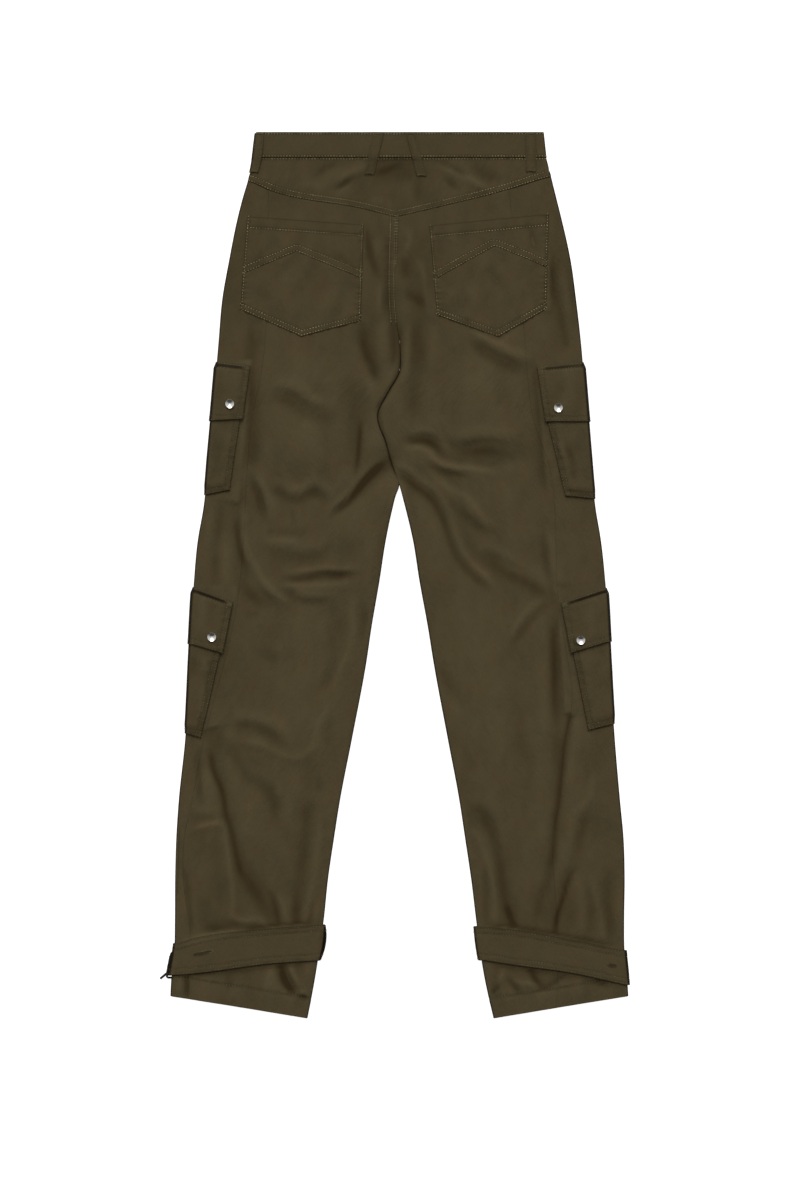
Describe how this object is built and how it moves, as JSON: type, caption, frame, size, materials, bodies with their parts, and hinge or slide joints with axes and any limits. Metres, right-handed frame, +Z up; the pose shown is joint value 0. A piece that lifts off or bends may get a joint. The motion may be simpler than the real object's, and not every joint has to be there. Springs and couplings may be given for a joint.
{
  "type": "cargo trousers laid flat",
  "caption": "Long cargo trousers of olive twill laid flat on their front, with a pointed yoke, back pockets, flapped side pockets with snaps and strapped ankles.",
  "frame": {"origin": "middle of the footprint, on the surface that the trousers lie on", "axes": "+Y towards the waist, +X towards the wearer's right leg, +Z up, out of the back of the trousers"},
  "size_m": [0.612, 1.1526, 0.0209],
  "materials": {
    "olive_twill": "matte cotton twill with a soft sheen",
    "polished_metal": "polished snap caps",
    "gunmetal": "dark satin metal"
  },
  "bodies": {
    "root": {"ankle_buckle_left": "gunmetal", "ankle_buckle_right": "gunmetal", "ankle_strap_back_left": "olive_twill", "ankle_strap_back_right": "olive_twill", "ankle_strap_front_left": "olive_twill", "ankle_strap_front_right": "olive_twill", "back_panel_left": "olive_twill", "back_panel_right": "olive_twill", "back_pocket_left_lower": "olive_twill", "back_pocket_left_upper": "olive_twill", "back_pocket_right_lower": "olive_twill", "back_pocket_right_upper": "olive_twill", "belt_loop_centre_left": "olive_twill", "belt_loop_centre_right": "olive_twill", "belt_loop_front_left": "olive_twill", "belt_loop_front_right": "olive_twill", "belt_loop_side_left": "olive_twill", "belt_loop_side_right": "olive_twill", "cargo_flap_lower_left": "olive_twill", "cargo_flap_lower_right": "olive_twill", "cargo_flap_upper_left": "olive_twill", "cargo_flap_upper_right": "olive_twill", "cargo_pocket_lower_left": "olive_twill", "cargo_pocket_lower_right": "olive_twill", "cargo_pocket_upper_left": "olive_twill", "cargo_pocket_upper_right": "olive_twill", "front_panel_left": "olive_twill", "front_panel_right": "olive_twill", "side_panel_left": "olive_twill", "side_panel_right": "olive_twill", "snap_lower_left_back": "polished_metal", "snap_lower_left_front": "polished_metal", "snap_lower_right_back": "polished_metal", "snap_lower_right_front": "polished_metal", "snap_upper_left_back": "polished_metal", "snap_upper_left_front": "polished_metal", "snap_upper_right_back": "polished_metal", "snap_upper_right_front": "polished_metal", "waist_button": "polished_metal", "waistband_back": "olive_twill", "waistband_front_left": "olive_twill", "waistband_front_right": "olive_twill", "yoke": "olive_twill"}
  },
  "joints": []
}
